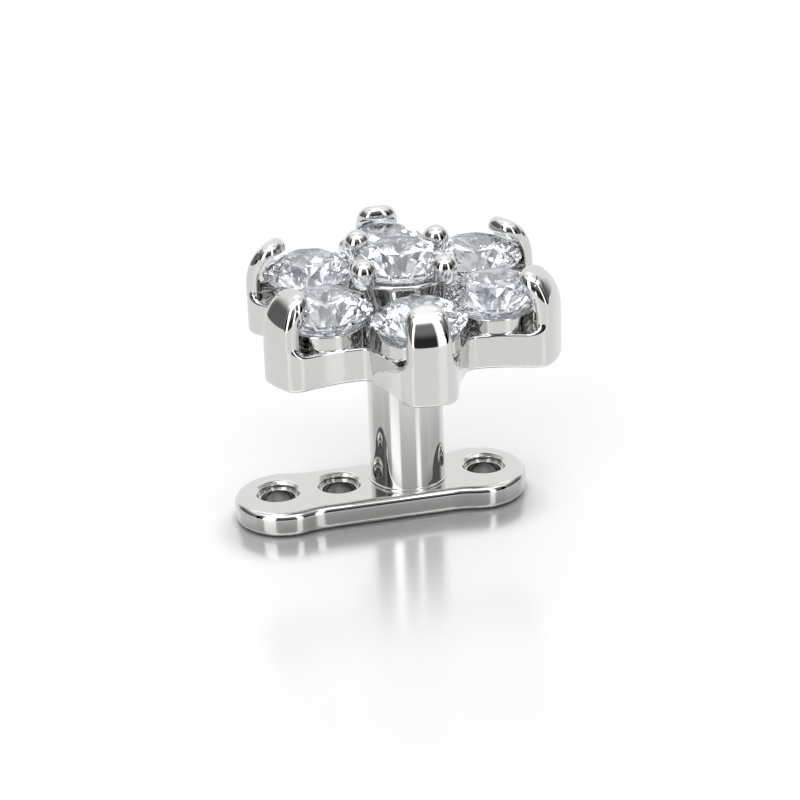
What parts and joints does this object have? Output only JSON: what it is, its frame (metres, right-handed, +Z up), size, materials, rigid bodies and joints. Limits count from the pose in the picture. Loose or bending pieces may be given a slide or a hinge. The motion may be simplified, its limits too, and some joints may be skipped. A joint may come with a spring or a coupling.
{
  "type": "micro dermal jewel with a flower top",
  "caption": "Flower of round stones held by claws in a star-shaped tray, screwed to a round post on a flat foot with tissue holes.",
  "frame": {"origin": "where the post's axis meets the foot's underside", "axes": "+Z up along the post, -X along the foot's long arm, -Y towards the camera of the picture"},
  "size_m": [0.0071, 0.0068, 0.0059],
  "materials": {
    "steel": "mirror-polished surgical steel",
    "crystal": "colourless cubic zirconia, brilliant cut and polished"
  },
  "bodies": {
    "root": {"anchor": "steel", "screw_pin": "steel", "flower_setting": "steel", "stone_centre": "crystal", "stone_petal_1": "crystal", "stone_petal_2": "crystal", "stone_petal_3": "crystal", "stone_petal_4": "crystal", "stone_petal_5": "crystal", "stone_petal_6": "crystal"}
  },
  "joints": []
}
